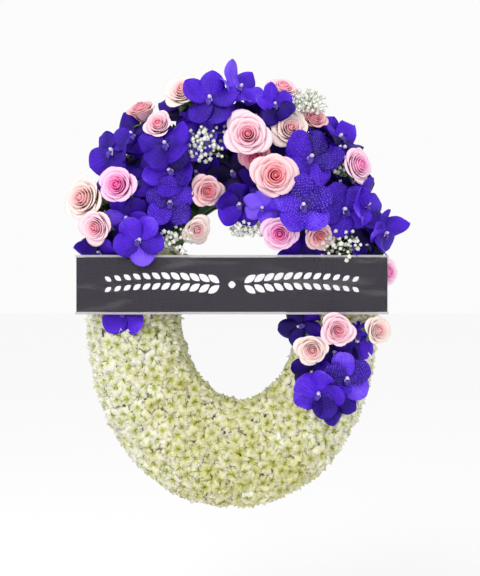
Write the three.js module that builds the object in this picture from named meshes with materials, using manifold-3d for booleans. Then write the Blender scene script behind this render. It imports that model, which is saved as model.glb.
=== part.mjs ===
// A funeral wreath that hangs upright from a steel strap: a foam ring in a plastic tray, a bed of
// white chrysanthemums round its lower half, an arc of vanda orchids, roses and baby's breath over
// its top and right side, and a plain name card in a clear sleeve across the middle.
// Millimetres. X runs to the viewer's right, Y to the back and Z up. The origin is the centre of
// the hanging hole, on the back plane.
import * as THREE from "three";
import { mergeVertices } from "three/addons/utils/BufferGeometryUtils.js";
import Module from "manifold-3d";

const wasm = await Module();
wasm.setup();

// Driving dimensions. The ring's own centre is (0, 0) while it is built.
const ring = {
  halfWidth: 246,
  halfHeight: 330,
  squareness: 2.15, // 2 is an ellipse
  hole: { halfWidth: 102, halfHeight: 157, x: 13, z: 5 },
  step: 10, // degrees between stations
};
// Sections are drawn across the ring in hundredths of its width, from the hole's edge outwards,
// and forwards from the back plane in millimetres.
const tray = { inner: 13.3, outer: 86.7, wall: 2, base: 4, lip: 18 };
const foam = { inner: 15.7, outer: 84.3, chamfer: 8, back: 4.4, shoulder: 48, front: 60 };
const bed = {
  gap: 0.4,
  side: 2, // hundredths of the ring's width left free at the bed's sides
  back: 18.6,
  shoulder: 30,
  front: 88,
  domeSteps: 12,
  fullness: 0.8, // 1 makes the dome an ellipse and less makes it fuller
};
const bedSpans = {
  chrysanthemums_left: [150, 210],
  chrysanthemums_lower_left: [210, 260],
  chrysanthemums_bottom: [260, 310],
  chrysanthemums_right: [310, 370],
};
const endGap = 0.12; // degrees left free at each end of a bed
const strap = {
  width: 20,
  thickness: 1.6,
  foot: 225,
  holeZ: 328,
  holeRadius: 6,
  back: 4.4,
  arcSegments: 8,
};
const banner = {
  z: 45,
  front: 116, // the sleeve's front face, ahead of the back plane
  card: { width: 507, height: 89, thickness: 1.2 },
  sleeve: { width: 511, height: 97, wall: 0.5, gap: 0.35 },
};
const picks = {
  x: 205,
  z: 45,
  radius: 1.6,
  sides: 6,
  padRadius: 7,
  padThickness: 2,
  padSides: 10,
  tip: 34, // how far ahead of the back plane the point ends
};
const clearance = 0.35; // kept between pieces that touch
// neck: how far behind a head's middle its stem starts, as a share of the head's radius.
const stems = {
  rose: { radius: 2.6, sides: 6, neck: 0.8 },
  orchid: { radius: 1.7, sides: 6, neck: 0.02 },
  spray: { radius: 1.2, sides: 6 },
  searchStep: 2, // degrees between the places tried for a stem's foot
  depth: 36, // how far ahead of the back plane a stem ends in the foam
  margin: 24, // hundredths of the ring's width kept clear at the foam's edges
};

// Blooms, from the ring's centre. x, z: the middle of the head. out: how far it stands ahead of
// the back plane. lean: degrees that it faces to the right and upwards. turn: its roll.
const roses = [
  { name: "rose_01", x: -246, z: 187, out: 92, radius: 41, lean: [-30, 8], turn: 0 },
  { name: "rose_02", x: -185, z: 206, out: 122, radius: 38, lean: [-16, 4], turn: 20 },
  { name: "rose_03", x: -222, z: 138, out: 114, radius: 30, lean: [-26, -14], turn: 50 },
  { name: "rose_04", x: -150, z: 335, out: 86, radius: 31, lean: [-34, 58], turn: 10 },
  { name: "rose_05", x: -119, z: 305, out: 118, radius: 35, lean: [-10, 18], turn: 80 },
  { name: "rose_06", x: -80, z: 362, out: 108, radius: 34, lean: [-18, 30], turn: 30 },
  { name: "rose_08", x: 26, z: 287, out: 136, radius: 39, lean: [-4, 2], turn: 0 },
  { name: "rose_09", x: 38, z: 254, out: 116, radius: 30, lean: [-8, -24], turn: 60 },
  { name: "rose_10", x: 69, z: 220, out: 148, radius: 38, lean: [4, -2], turn: 40 },
  { name: "rose_11", x: 96, z: 300, out: 110, radius: 34, lean: [8, 14], turn: 100 },
  { name: "rose_12", x: 84, z: 370, out: 82, radius: 33, lean: [20, 48], turn: 0 },
  { name: "rose_13", x: 207, z: 240, out: 112, radius: 32, lean: [44, 10], turn: 70 },
  { name: "rose_14", x: -40, z: 198, out: 108, radius: 33, lean: [14, -12], turn: 15 },
  { name: "rose_15", x: -57, z: 135, out: 96, radius: 25, lean: [20, -22], turn: 90 },
  { name: "rose_16", x: 78, z: 128, out: 118, radius: 33, lean: [-6, -12], turn: 30 },
  { name: "rose_17", x: 143, z: 124, out: 112, radius: 28, lean: [6, -18], turn: 10 },
  { name: "rose_18", x: 256, z: 66, out: 90, radius: 28, lean: [46, 0], turn: 0 },
  { name: "rose_20", x: 172, z: -25, out: 122, radius: 35, lean: [4, -4], turn: 0 },
  { name: "rose_21", x: 131, z: -61, out: 118, radius: 33, lean: [-6, -10], turn: 45 },
];
const orchids = [
  { name: "orchid_01", x: -35, z: 346, out: 128, radius: 46, lean: [-8, 14], turn: -8 },
  { name: "orchid_02", x: 12, z: 368, out: 100, radius: 42, lean: [38, 34], turn: -50 },
  { name: "orchid_03", x: 70, z: 338, out: 114, radius: 34, lean: [8, 22], turn: 10 },
  { name: "orchid_05", x: -108, z: 272, out: 124, radius: 44, lean: [-8, 24], turn: 14 },
  { name: "orchid_07", x: -196, z: 264, out: 96, radius: 47, lean: [-30, 20], turn: -20 },
  { name: "orchid_08", x: -165, z: 292, out: 82, radius: 44, lean: [-22, 34], turn: 30 },
  { name: "orchid_10", x: -101, z: 232, out: 118, radius: 43, lean: [-12, -4], turn: 35 },
  { name: "orchid_11", x: -101, z: 181, out: 114, radius: 42, lean: [2, -10], turn: 0 },
  { name: "orchid_13", x: -172, z: 156, out: 100, radius: 40, lean: [-14, -16], turn: 24 },
  { name: "orchid_14", x: -150, z: 118, out: 128, radius: 42, lean: [6, -6], turn: -30 },
  { name: "orchid_16", x: -218, z: 99, out: 88, radius: 37, lean: [-26, -10], turn: 0 },
  { name: "orchid_18", x: 12, z: 179, out: 108, radius: 41, lean: [4, -26], turn: 0 },
  { name: "orchid_19", x: 50, z: 172, out: 128, radius: 34, lean: [-14, -34], turn: -15 },
  { name: "orchid_21", x: 115, z: 173, out: 140, radius: 48, lean: [2, 2], turn: 4 },
  { name: "orchid_22", x: 128, z: 252, out: 118, radius: 49, lean: [14, 12], turn: -24 },
  { name: "orchid_24", x: 178, z: 288, out: 84, radius: 44, lean: [30, 34], turn: 20 },
  { name: "orchid_26", x: 182, z: 168, out: 118, radius: 46, lean: [18, -6], turn: 30 },
  { name: "orchid_27", x: 220, z: 176, out: 102, radius: 44, lean: [40, 8], turn: -14 },
  { name: "orchid_28", x: 252, z: 131, out: 84, radius: 40, lean: [48, -6], turn: 16 },
  { name: "orchid_30", x: 113, z: 92, out: 88, radius: 44, lean: [0, -12], turn: 36 },
  { name: "orchid_31", x: -180, z: 4, out: 92, radius: 44, lean: [-8, -6], turn: 0 },
  { name: "orchid_33", x: 208, z: -46, out: 92, radius: 42, lean: [22, 4], turn: 160 },
  { name: "orchid_34", x: 187, z: -107, out: 112, radius: 44, lean: [8, -8], turn: 10 },
  { name: "orchid_35", x: 142, z: -132, out: 106, radius: 44, lean: [-8, -14], turn: -20 },
];
// Sprays of baby's breath, each a loose cloud of tiny florets. half: its half sizes.
const sprays = [
  { name: "babys_breath_01", x: -40, z: 276, out: 118, half: [34, 22, 30] },
  { name: "babys_breath_02", x: 122, z: 345, out: 88, half: [34, 26, 24] },
  { name: "babys_breath_03", x: 176, z: 244, out: 96, half: [18, 18, 30] },
  { name: "babys_breath_04", x: -96, z: 118, out: 96, half: [30, 22, 28] },
  { name: "babys_breath_05", x: 26, z: 142, out: 84, half: [36, 18, 18] },
  { name: "babys_breath_06", x: 176, z: 112, out: 108, half: [36, 20, 28] },
];

const materials = {
  tray: new THREE.MeshStandardMaterial({ color: 0x24402c, roughness: 0.55, metalness: 0 }),
  foam: new THREE.MeshStandardMaterial({ color: 0x3f6a3a, roughness: 0.95, metalness: 0 }),
  chrysanthemum: new THREE.MeshStandardMaterial({ color: 0xe6e6c4, roughness: 0.7, metalness: 0 }),
  rose: new THREE.MeshStandardMaterial({ color: 0xf8c3cd, roughness: 0.55, metalness: 0 }),
  orchid: new THREE.MeshStandardMaterial({ color: 0x4a2bb0, roughness: 0.5, metalness: 0 }),
  spray: new THREE.MeshStandardMaterial({ color: 0xf2f3ea, roughness: 0.7, metalness: 0 }),
  card: new THREE.MeshStandardMaterial({ color: 0x48444c, roughness: 0.5, metalness: 0 }),
  sleeve: new THREE.MeshStandardMaterial({ color: 0xdedbe0, roughness: 0.15, metalness: 0 }),
  pick: new THREE.MeshStandardMaterial({ color: 0xc9a678, roughness: 0.8, metalness: 0 }),
  steel: new THREE.MeshStandardMaterial({ color: 0x9a9ca0, roughness: 0.4, metalness: 1 }),
};

// A closed three.js geometry as a solid, and back.
function toSolid(geometry) {
  const bare = geometry.clone();
  bare.deleteAttribute("normal");
  bare.deleteAttribute("uv");
  const merged = mergeVertices(bare, 1e-3);
  const vertProperties = new Float32Array(merged.attributes.position.array);
  const triVerts = new Uint32Array(merged.index.array);
  return new wasm.Manifold(new wasm.Mesh({ numProp: 3, vertProperties, triVerts }));
}

function toGeometry(solid) {
  const mesh = solid.getMesh();
  const geometry = new THREE.BufferGeometry();
  geometry.setAttribute("position", new THREE.BufferAttribute(mesh.vertProperties, 3));
  geometry.setIndex(new THREE.BufferAttribute(mesh.triVerts, 1));
  const faceted = geometry.toNonIndexed();
  faceted.computeVertexNormals();
  return faceted;
}

function joined(geometries) {
  return geometries.map(toSolid).reduce((a, b) => a.add(b));
}

function largestBody(solid) {
  return solid.decompose().reduce((a, b) => (b.volume() > a.volume() ? b : a));
}

// The two edges of the ring at an angle, seen from the front.
function edgesAt(degrees) {
  const t = THREE.MathUtils.degToRad(degrees);
  const rounded = (v) => Math.sign(v) * Math.abs(v) ** (2 / ring.squareness);
  const outer = new THREE.Vector2(
    ring.halfWidth * rounded(Math.cos(t)),
    ring.halfHeight * rounded(Math.sin(t)),
  );
  const inner = new THREE.Vector2(
    ring.hole.x + ring.hole.halfWidth * Math.cos(t),
    ring.hole.z + ring.hole.halfHeight * Math.sin(t),
  );
  return { inner, outer };
}

function ringPoint(degrees, across, forward) {
  const { inner, outer } = edgesAt(degrees);
  const at = inner.lerp(outer, across / 100);
  return new THREE.Vector3(at.x, -forward, at.y);
}

// Bends a straight body round the ring: x is across it, y forwards from the back and z the angle.
function bendRound(geometry) {
  const position = geometry.getAttribute("position");
  for (let i = 0; i < position.count; i++) {
    const at = ringPoint(position.getZ(i), position.getX(i), position.getY(i));
    position.setXYZ(i, at.x, at.y, at.z);
  }
  return geometry;
}

function sectionShape(section) {
  return new THREE.Shape(section.map(([across, forward]) => new THREE.Vector2(across, forward)));
}

// A body that runs all the way round: a lathe's rings, with each station moved to its place.
function fullRing(section) {
  const stations = 360 / ring.step;
  const closed = [...section, section[0]].map(([across, forward]) => new THREE.Vector2(across, forward));
  const geometry = new THREE.LatheGeometry(closed, stations);
  const position = geometry.getAttribute("position");
  for (let i = 0; i < position.count; i++) {
    const across = closed[i % closed.length];
    const degrees = (Math.floor(i / closed.length) % stations) * ring.step;
    const at = ringPoint(degrees, across.x, across.y);
    position.setXYZ(i, at.x, at.y, at.z);
  }
  return geometry;
}

function partRing(section, from, to) {
  const steps = Math.round((to - from) / ring.step);
  const geometry = new THREE.ExtrudeGeometry(sectionShape(section), {
    depth: steps,
    steps,
    bevelEnabled: false,
  });
  const position = geometry.getAttribute("position");
  for (let i = 0; i < position.count; i++) {
    const station = to - Math.round(position.getZ(i)) * ring.step;
    position.setZ(i, THREE.MathUtils.clamp(station, from + endGap, to - endGap));
  }
  return bendRound(geometry);
}

// A rod between two points. It is slightly longer at each end by over.
function rod(from, to, radius, sides, over = 0) {
  const along = new THREE.Vector3().subVectors(to, from);
  const geometry = new THREE.CylinderGeometry(radius, radius, along.length() + 2 * over, sides);
  const turn = new THREE.Quaternion().setFromUnitVectors(
    new THREE.Vector3(0, 1, 0),
    along.clone().normalize(),
  );
  geometry.applyQuaternion(turn);
  const middle = new THREE.Vector3().addVectors(from, to).multiplyScalar(0.5);
  return geometry.translate(middle.x, middle.y, middle.z);
}

// Where a bloom's stem ends in the foam: straight behind its head, or as near to it as the foam is.
function footInFoam({ x, z }) {
  const wanted = new THREE.Vector2(x, z);
  let best = { gap: Infinity };
  for (let degrees = 0; degrees < 360; degrees += stems.searchStep) {
    const { inner, outer } = edgesAt(degrees);
    const across = outer.clone().sub(inner);
    const share = (100 * wanted.clone().sub(inner).dot(across)) / across.lengthSq();
    const held = THREE.MathUtils.clamp(share, stems.margin, 100 - stems.margin);
    const at = ringPoint(degrees, held, stems.depth);
    const gap = Math.hypot(at.x - x, at.z - z);
    if (gap < best.gap) best = { gap, at };
  }
  return best.at;
}

// The placing of a head that is modelled facing +Z with +Y as its top.
function headMatrix({ x, z, out, lean, turn }) {
  const [right, up] = lean.map(THREE.MathUtils.degToRad);
  const matrix = new THREE.Matrix4().makeRotationZ(right);
  matrix.multiply(new THREE.Matrix4().makeRotationX(Math.PI / 2 - up));
  matrix.multiply(new THREE.Matrix4().makeRotationZ(THREE.MathUtils.degToRad(turn)));
  return matrix.setPosition(x, -out, z);
}

// A rose's cup in shares of its radius, as distance from its axis and height, from its base up.
const roseCup = {
  sides: 10,
  scallop: 0.06,
  profile: [
    [0, -0.95],
    [0.16, -0.9],
    [0.42, -0.66],
    [0.78, -0.3],
    [1, 0.1],
    [0.86, 0.26],
    [0.5, 0.3],
    [0, 0.46],
  ],
};

// A rose's head: a turned cup with a scalloped rim and a raised heart, on its green base.
function roseHead(radius, grow) {
  const { sides, scallop } = roseCup;
  const profile = roseCup.profile.map(
    ([r, y]) => new THREE.Vector2(r === 0 ? 0 : r * radius + grow, y * radius),
  );
  profile[0].y -= grow;
  profile[profile.length - 1].y += grow;
  const geometry = new THREE.LatheGeometry(profile, sides);
  const position = geometry.getAttribute("position");
  for (let i = 0; i < position.count; i++) {
    const spoke = Math.floor(i / profile.length) % sides;
    const wave = 1 + scallop * (spoke % 2 ? -1 : 1) * (position.getY(i) > 0 ? 1 : 0);
    position.setX(i, position.getX(i) * wave);
    position.setZ(i, position.getZ(i) * wave);
  }
  return geometry.rotateX(Math.PI / 2);
}

// An orchid's five tepals as one plate: a top one, two at its sides and two broad lower ones.
const tepals = [
  { at: 90, length: 1, width: 0.36 },
  { at: 162, length: 0.96, width: 0.36 },
  { at: 232, length: 0.98, width: 0.4 },
  { at: 308, length: 0.98, width: 0.4 },
  { at: 18, length: 0.96, width: 0.36 },
];
// A tepal's outline from one side to the other: how far out, and how far aside.
const tepalEdge = [
  [0.62, -1],
  [0.86, -0.72],
  [1, 0],
  [0.86, 0.72],
  [0.62, 1],
];
// The rest of the orchid, in shares of its radius except for its thickness.
const orchidFlower = {
  thickness: 2,
  waist: 0.24, // how far from the middle the tepals part
  cupping: 0.16, // how far their ends come forwards
  columnRadius: 0.13,
  columnHeight: 0.3,
  columnSides: 6,
};

function orchidPlate(radius, grow) {
  const { waist, cupping } = orchidFlower;
  const outline = [];
  tepals.forEach(({ at, length, width }, i) => {
    const next = tepals[(i + 1) % tepals.length];
    const between = at + ((((next.at - at) % 360) + 360) % 360) / 2;
    const middle = THREE.MathUtils.degToRad(at);
    const along = new THREE.Vector2(Math.cos(middle), Math.sin(middle));
    const aside = new THREE.Vector2(-along.y, along.x);
    for (const [far, side] of tepalEdge) {
      const tip = along.clone().multiplyScalar(far * length * radius + grow * far);
      outline.push(tip.addScaledVector(aside, side * (width * radius + grow)));
    }
    const notch = THREE.MathUtils.degToRad(between);
    const depth = waist * radius + 2 * grow;
    outline.push(new THREE.Vector2(Math.cos(notch) * depth, Math.sin(notch) * depth));
  });
  const thickness = orchidFlower.thickness + 2 * grow;
  const geometry = new THREE.ExtrudeGeometry(new THREE.Shape(outline), {
    depth: thickness,
    steps: 1,
    bevelEnabled: false,
  }).translate(0, 0, -thickness / 2);
  const position = geometry.getAttribute("position");
  for (let i = 0; i < position.count; i++) {
    const far = Math.hypot(position.getX(i), position.getY(i)) / radius;
    position.setZ(i, position.getZ(i) + cupping * radius * far ** 2);
  }
  return geometry;
}

// The pale column in an orchid's middle, with the lip below it.
function orchidHeart(radius, grow) {
  const { columnRadius, columnHeight, columnSides } = orchidFlower;
  const height = columnHeight * radius + 2 * grow;
  const column = new THREE.ConeGeometry(columnRadius * radius + grow, height, columnSides);
  column.rotateX(Math.PI / 2).translate(0, 0, height / 2 - 2 * grow);
  return column;
}

// Each builder takes how much to grow the piece by, so that its neighbours can be cut clear of it.
function roseSolid(bloom, grow) {
  const matrix = headMatrix(bloom);
  const { radius, sides } = stems.rose;
  const neck = new THREE.Vector3(0, 0, -stems.rose.neck * bloom.radius).applyMatrix4(matrix);
  return joined([
    roseHead(bloom.radius, grow).applyMatrix4(matrix),
    rod(neck, footInFoam(bloom), radius + grow, sides, grow),
  ]);
}

function orchidSolid(bloom, grow) {
  const matrix = headMatrix(bloom);
  const { radius, sides } = stems.orchid;
  const neck = new THREE.Vector3(0, 0, -stems.orchid.neck * bloom.radius).applyMatrix4(matrix);
  return joined([
    orchidPlate(bloom.radius, grow).applyMatrix4(matrix),
    orchidHeart(bloom.radius, grow).applyMatrix4(matrix),
    rod(neck, footInFoam(bloom), radius + grow, sides, grow),
  ]);
}

function spraySolid({ x, z, out, half }, grow) {
  const cloud = new THREE.IcosahedronGeometry(1, 1);
  cloud.scale(half[0] + grow, half[1] + grow, half[2] + grow).translate(x, -out, z);
  const { radius, sides } = stems.spray;
  const middle = new THREE.Vector3(x, -out, z);
  return joined([cloud, rod(middle, footInFoam({ x, z }), radius + grow, sides, grow)]);
}

function box(width, depth, height, x, y, z) {
  return new THREE.BoxGeometry(width, depth, height).translate(x, y, z);
}

// The clear sleeve is a flat tube, open at both ends, and the card lies in it.
function sleeveSolid(grow) {
  const { width, height, wall, gap } = banner.sleeve;
  const depth = banner.card.thickness + 2 * (gap + wall);
  const y = -banner.front + depth / 2;
  const outside = toSolid(box(width, depth + 2 * grow, height + 2 * grow, 0, y, banner.z));
  if (grow) return outside;
  const inside = box(width + 2 * wall, depth - 2 * wall, height - 2 * wall, 0, y, banner.z);
  return outside.subtract(toSolid(inside));
}

function cardSolid() {
  const { width, height, thickness } = banner.card;
  const { wall, gap } = banner.sleeve;
  const y = -banner.front + wall + gap + thickness / 2;
  return toSolid(box(width, thickness, height, 0, y, banner.z));
}

// A wooden pick: its pad bears on the sleeve's back and its point is pushed into the foam.
function pickSolid(side, grow) {
  const sleeveBack = -banner.front + banner.card.thickness + 2 * (banner.sleeve.gap + banner.sleeve.wall);
  const padFront = new THREE.Vector3(side * picks.x, sleeveBack + clearance, picks.z);
  const padBack = padFront.clone().setY(padFront.y + picks.padThickness);
  const tip = footInFoam({ x: side * picks.x, z: picks.z }).setY(-picks.tip);
  const shankTop = padBack.clone().setY(padBack.y - picks.padThickness / 2);
  return joined([
    rod(padFront, padBack, picks.padRadius + grow, picks.padSides, grow),
    rod(shankTop, tip, picks.radius + grow, picks.sides, grow),
  ]);
}

// The steel strap lies between the tray's base and the foam, and its eye stands above the rim.
function strapSolid(grow) {
  const half = strap.width / 2 + grow;
  const shape = new THREE.Shape();
  shape.moveTo(-half, strap.foot - grow);
  shape.lineTo(half, strap.foot - grow);
  shape.lineTo(half, strap.holeZ);
  shape.absarc(0, strap.holeZ, half, 0, Math.PI, false);
  shape.closePath();
  if (!grow) {
    const hole = new THREE.Path();
    hole.absarc(0, strap.holeZ, strap.holeRadius, 0, 2 * Math.PI, true);
    shape.holes.push(hole);
  }
  const thickness = strap.thickness + 2 * grow;
  const geometry = new THREE.ExtrudeGeometry(shape, {
    depth: thickness,
    steps: 1,
    bevelEnabled: false,
    curveSegments: strap.arcSegments,
  });
  return toSolid(geometry.rotateX(Math.PI / 2).translate(0, -strap.back + grow, 0));
}

function traySection() {
  const { inner, outer, wall, base, lip } = tray;
  return [
    [inner, 0],
    [outer, 0],
    [outer, lip],
    [outer - wall, lip],
    [outer - wall, base],
    [inner + wall, base],
    [inner + wall, lip],
    [inner, lip],
  ];
}

function foamSection() {
  const { inner, outer, chamfer, back, shoulder, front } = foam;
  return [
    [inner, back],
    [outer, back],
    [outer, shoulder],
    [outer - chamfer, front],
    [inner + chamfer, front],
    [inner, shoulder],
  ];
}

// The bed of heads is a thick rounded cover over the foam's front and sides.
function bedSection() {
  const { gap, side, back, shoulder, front, domeSteps, fullness } = bed;
  const section = [
    [foam.outer + gap, back],
    [100 - side, back],
  ];
  for (let i = 0; i <= domeSteps; i++) {
    const t = (Math.PI * i) / domeSteps;
    const across = 50 + 50 * Math.sign(Math.cos(t)) * Math.abs(Math.cos(t)) ** fullness;
    section.push([across, shoulder + (front - shoulder) * Math.abs(Math.sin(t)) ** fullness]);
  }
  section.push(
    [side, back],
    [foam.inner - gap, back],
    [foam.inner - gap, foam.shoulder + gap],
    [foam.inner + foam.chamfer - gap / 2, foam.front + gap],
    [foam.outer - foam.chamfer + gap / 2, foam.front + gap],
    [foam.outer + gap, foam.shoulder + gap],
  );
  return section;
}

// Every piece in the order in which it keeps its shape: each one is cut clear of those before it.
const byDepth = (a, b) => b.out - a.out;
const pieces = [
  { name: "banner_sleeve", look: "sleeve", make: sleeveSolid },
  { name: "banner_pick_left", look: "pick", make: (grow) => pickSolid(-1, grow) },
  { name: "banner_pick_right", look: "pick", make: (grow) => pickSolid(1, grow) },
  { name: "hanger_strap", look: "steel", make: strapSolid },
  ...[...roses].sort(byDepth).map((bloom) => ({
    name: bloom.name,
    look: "rose",
    place: headMatrix(bloom),
    make: (grow) => roseSolid(bloom, grow),
  })),
  ...[...orchids].sort(byDepth).map((bloom) => ({
    name: bloom.name,
    look: "orchid",
    place: headMatrix(bloom),
    make: (grow) => orchidSolid(bloom, grow),
  })),
  ...sprays.map((spray) => ({
    name: spray.name,
    look: "spray",
    make: (grow) => spraySolid(spray, grow),
  })),
];

const wreath = new THREE.Group();
wreath.position.z = -strap.holeZ;

function addPiece(name, solid, look, place = new THREE.Matrix4()) {
  const geometry = toGeometry(solid).applyMatrix4(place.clone().invert());
  const mesh = new THREE.Mesh(geometry, materials[look]);
  mesh.name = name;
  place.decompose(mesh.position, mesh.quaternion, mesh.scale);
  wreath.add(mesh);
}

const cutters = [];
for (const { name, look, place, make } of pieces) {
  const whole = make(0);
  const cut = cutters.reduce((solid, cutter) => solid.subtract(cutter), whole);
  addPiece(name, largestBody(cut), look, place);
  cutters.push(make(clearance));
}
addPiece("banner_card", cardSolid(), "card");

const allCutters = cutters.reduce((a, b) => a.add(b));
for (const [name, [from, to]] of Object.entries(bedSpans)) {
  const solid = toSolid(partRing(bedSection(), from, to)).subtract(allCutters);
  addPiece(name, largestBody(solid), "chrysanthemum");
}
addPiece("foam_ring", largestBody(toSolid(fullRing(foamSection())).subtract(allCutters)), "foam");
addPiece("backing_tray", largestBody(toSolid(fullRing(traySection())).subtract(allCutters)), "tray");

const model = new THREE.Group();
model.add(wreath);
export default model;
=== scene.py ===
import math
import random
import bmesh
import bpy
import numpy
from mathutils import Matrix, Vector


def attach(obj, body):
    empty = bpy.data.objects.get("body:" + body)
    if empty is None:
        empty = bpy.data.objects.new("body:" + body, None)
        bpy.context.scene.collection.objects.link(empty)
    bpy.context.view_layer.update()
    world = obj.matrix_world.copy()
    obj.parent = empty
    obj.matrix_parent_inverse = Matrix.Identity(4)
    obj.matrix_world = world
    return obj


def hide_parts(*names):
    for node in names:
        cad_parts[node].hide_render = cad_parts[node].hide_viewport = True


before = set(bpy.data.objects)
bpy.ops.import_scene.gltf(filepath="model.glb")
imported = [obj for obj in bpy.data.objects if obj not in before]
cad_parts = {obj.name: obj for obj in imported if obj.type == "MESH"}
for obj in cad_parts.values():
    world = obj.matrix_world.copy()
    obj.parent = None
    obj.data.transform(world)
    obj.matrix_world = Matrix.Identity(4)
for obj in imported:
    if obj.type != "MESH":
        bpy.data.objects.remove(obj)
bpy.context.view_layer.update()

rng = random.Random(41)

# The ring as the frame has it, in metres. Its own centre lies eyeHeight below the origin.
ring = {
    "halfWidth": 0.246,
    "halfHeight": 0.330,
    "squareness": 2.15,
    "holeHalfWidth": 0.102,
    "holeHalfHeight": 0.157,
    "holeX": 0.013,
    "holeZ": 0.005,
    "eyeHeight": 0.328,
    "foamDepth": 0.036,  # where stems end
    "foamMargin": 24,
    "bedShoulder": 0.030,
    "bedFront": 0.088,
}


def edgesAt(degrees):
    t = math.radians(degrees)
    power = 2 / ring["squareness"]
    rounded = lambda v: math.copysign(abs(v) ** power, v)
    outer = Vector((ring["halfWidth"] * rounded(math.cos(t)), ring["halfHeight"] * rounded(math.sin(t))))
    inner = Vector(
        (
            ring["holeX"] + ring["holeHalfWidth"] * math.cos(t),
            ring["holeZ"] + ring["holeHalfHeight"] * math.sin(t),
        )
    )
    return inner, outer


def ringPoint(degrees, across, forward):
    # across runs from 0 at the hole's edge to 100 at the ring's outer edge.
    inner, outer = edgesAt(degrees)
    at = inner.lerp(outer, across / 100)
    return Vector((at.x, -forward, at.y - ring["eyeHeight"]))


def footInFoam(x, z):
    # The spot in the foam straight behind a head, or the nearest one that the foam has.
    best = None
    for degrees in range(0, 360, 2):
        inner, outer = edgesAt(degrees)
        run = outer - inner
        share = 100 * (Vector((x, z)) - inner).dot(run) / run.length_squared
        held = min(max(share, ring["foamMargin"]), 100 - ring["foamMargin"])
        at = ringPoint(degrees, held, ring["foamDepth"])
        gap = math.hypot(at.x - x, at.z + ring["eyeHeight"] - z)
        if best is None or gap < best[0]:
            best = (gap, at)
    return best[1]


def headMatrix(x, z, out, lean, turn):
    # lean is (swing to the right, nod upwards) and turn is about the head's own axis, in degrees.
    place = Matrix.Translation((x, -out, z - ring["eyeHeight"]))
    swing = Matrix.Rotation(math.radians(lean[0]), 4, "Z")
    nod = Matrix.Rotation(math.radians(90 - lean[1]), 4, "X")
    face = swing @ nod
    return place @ face @ Matrix.Rotation(math.radians(turn), 4, "Z")


class Field:
    # A shader socket that takes part in Python sums.
    def __init__(self, finish, socket):
        self.finish = finish
        self.socket = socket

    def __add__(self, other):
        return self.finish.math("ADD", self, other)

    def __sub__(self, other):
        return self.finish.math("SUBTRACT", self, other)

    def __rsub__(self, other):
        return self.finish.math("SUBTRACT", other, self)

    def __mul__(self, other):
        return self.finish.math("MULTIPLY", self, other)

    def __gt__(self, other):
        return self.finish.math("GREATER_THAN", self, other)

    __radd__ = __add__
    __rmul__ = __mul__


class Finish:
    def __init__(self, name):
        self.material = bpy.data.materials.new(name)
        self.material.use_nodes = True
        self.tree = self.material.node_tree
        self.tree.nodes.clear()

    def node(self, kind, settings=None, values=None, output=0):
        made = self.tree.nodes.new("ShaderNode" + kind)
        for key, value in (settings or {}).items():
            if key == "stops":
                ramp = made.color_ramp
                while len(ramp.elements) < len(value):
                    ramp.elements.new(0.5)
                for element, (position, colour) in zip(ramp.elements, value):
                    element.position = position
                    element.color = colour
            else:
                setattr(made, key, value)
        for key, value in (values or {}).items():
            if isinstance(value, Field):
                self.tree.links.new(value.socket, made.inputs[key])
            else:
                made.inputs[key].default_value = value
        return Field(self, made.outputs[output])

    def math(self, operation, *values):
        return self.node("Math", {"operation": operation}, dict(enumerate(values)))

    def attribute(self, name):
        return self.node("Attribute", {"attribute_name": name}, output="Fac")

    def position(self):
        return self.node("TexCoord", output="Object")

    def petalMap(self):
        return self.node("UVMap", {"uv_map": "petalMap"})

    def noise(self, vector, scale, detail=2.0, roughness=0.5):
        values = {"Vector": vector, "Scale": scale, "Detail": detail, "Roughness": roughness}
        return self.node("TexNoise", None, values)

    def stretched(self, vector, scale):
        return self.node("Mapping", None, {"Vector": vector, "Scale": scale})

    def ramp(self, factor, stops):
        return self.node("ValToRGB", {"stops": stops}, {"Fac": factor})

    def blend(self, factor, low, high):
        settings = {"data_type": "RGBA", "clamp_factor": True}
        return self.node("Mix", settings, {0: factor, 6: low, 7: high}, output=2)

    def bump(self, height, strength, distance):
        return self.node("Bump", None, {"Height": height, "Strength": strength, "Distance": distance})

    def surface(self, values):
        shader = self.node("BsdfPrincipled", None, values)
        end = self.tree.nodes.new("ShaderNodeOutputMaterial")
        self.tree.links.new(shader.socket, end.inputs["Surface"])
        return self.material


def tint(red, green, blue):
    # A screen colour, 0 to 255, as the linear colour that a socket takes.
    linear = lambda v: v / 12.92 if v <= 0.04045 else ((v + 0.055) / 1.055) ** 2.4
    return tuple(linear(v / 255) for v in (red, green, blue)) + (1.0,)


roseColours = {
    "blush": {"heart": (244, 158, 164), "middle": (252, 210, 210), "rim": (254, 236, 230)},
    "palePink": {"heart": (244, 120, 146), "middle": (253, 194, 210), "rim": (255, 224, 234)},
    "hotPink": {"heart": (246, 84, 164), "middle": (254, 152, 212), "rim": (255, 210, 238)},
    "salmon": {"heart": (250, 118, 132), "middle": (254, 176, 186), "rim": (255, 216, 220)},
    "deepPink": {"heart": (220, 66, 122), "middle": (238, 118, 162), "rim": (250, 178, 200)},
    "lilacPink": {"heart": (242, 104, 176), "middle": (252, 178, 220), "rim": (254, 220, 238)},
    "duskyPink": {"heart": (206, 104, 134), "middle": (234, 154, 172), "rim": (246, 194, 200)},
}


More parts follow.
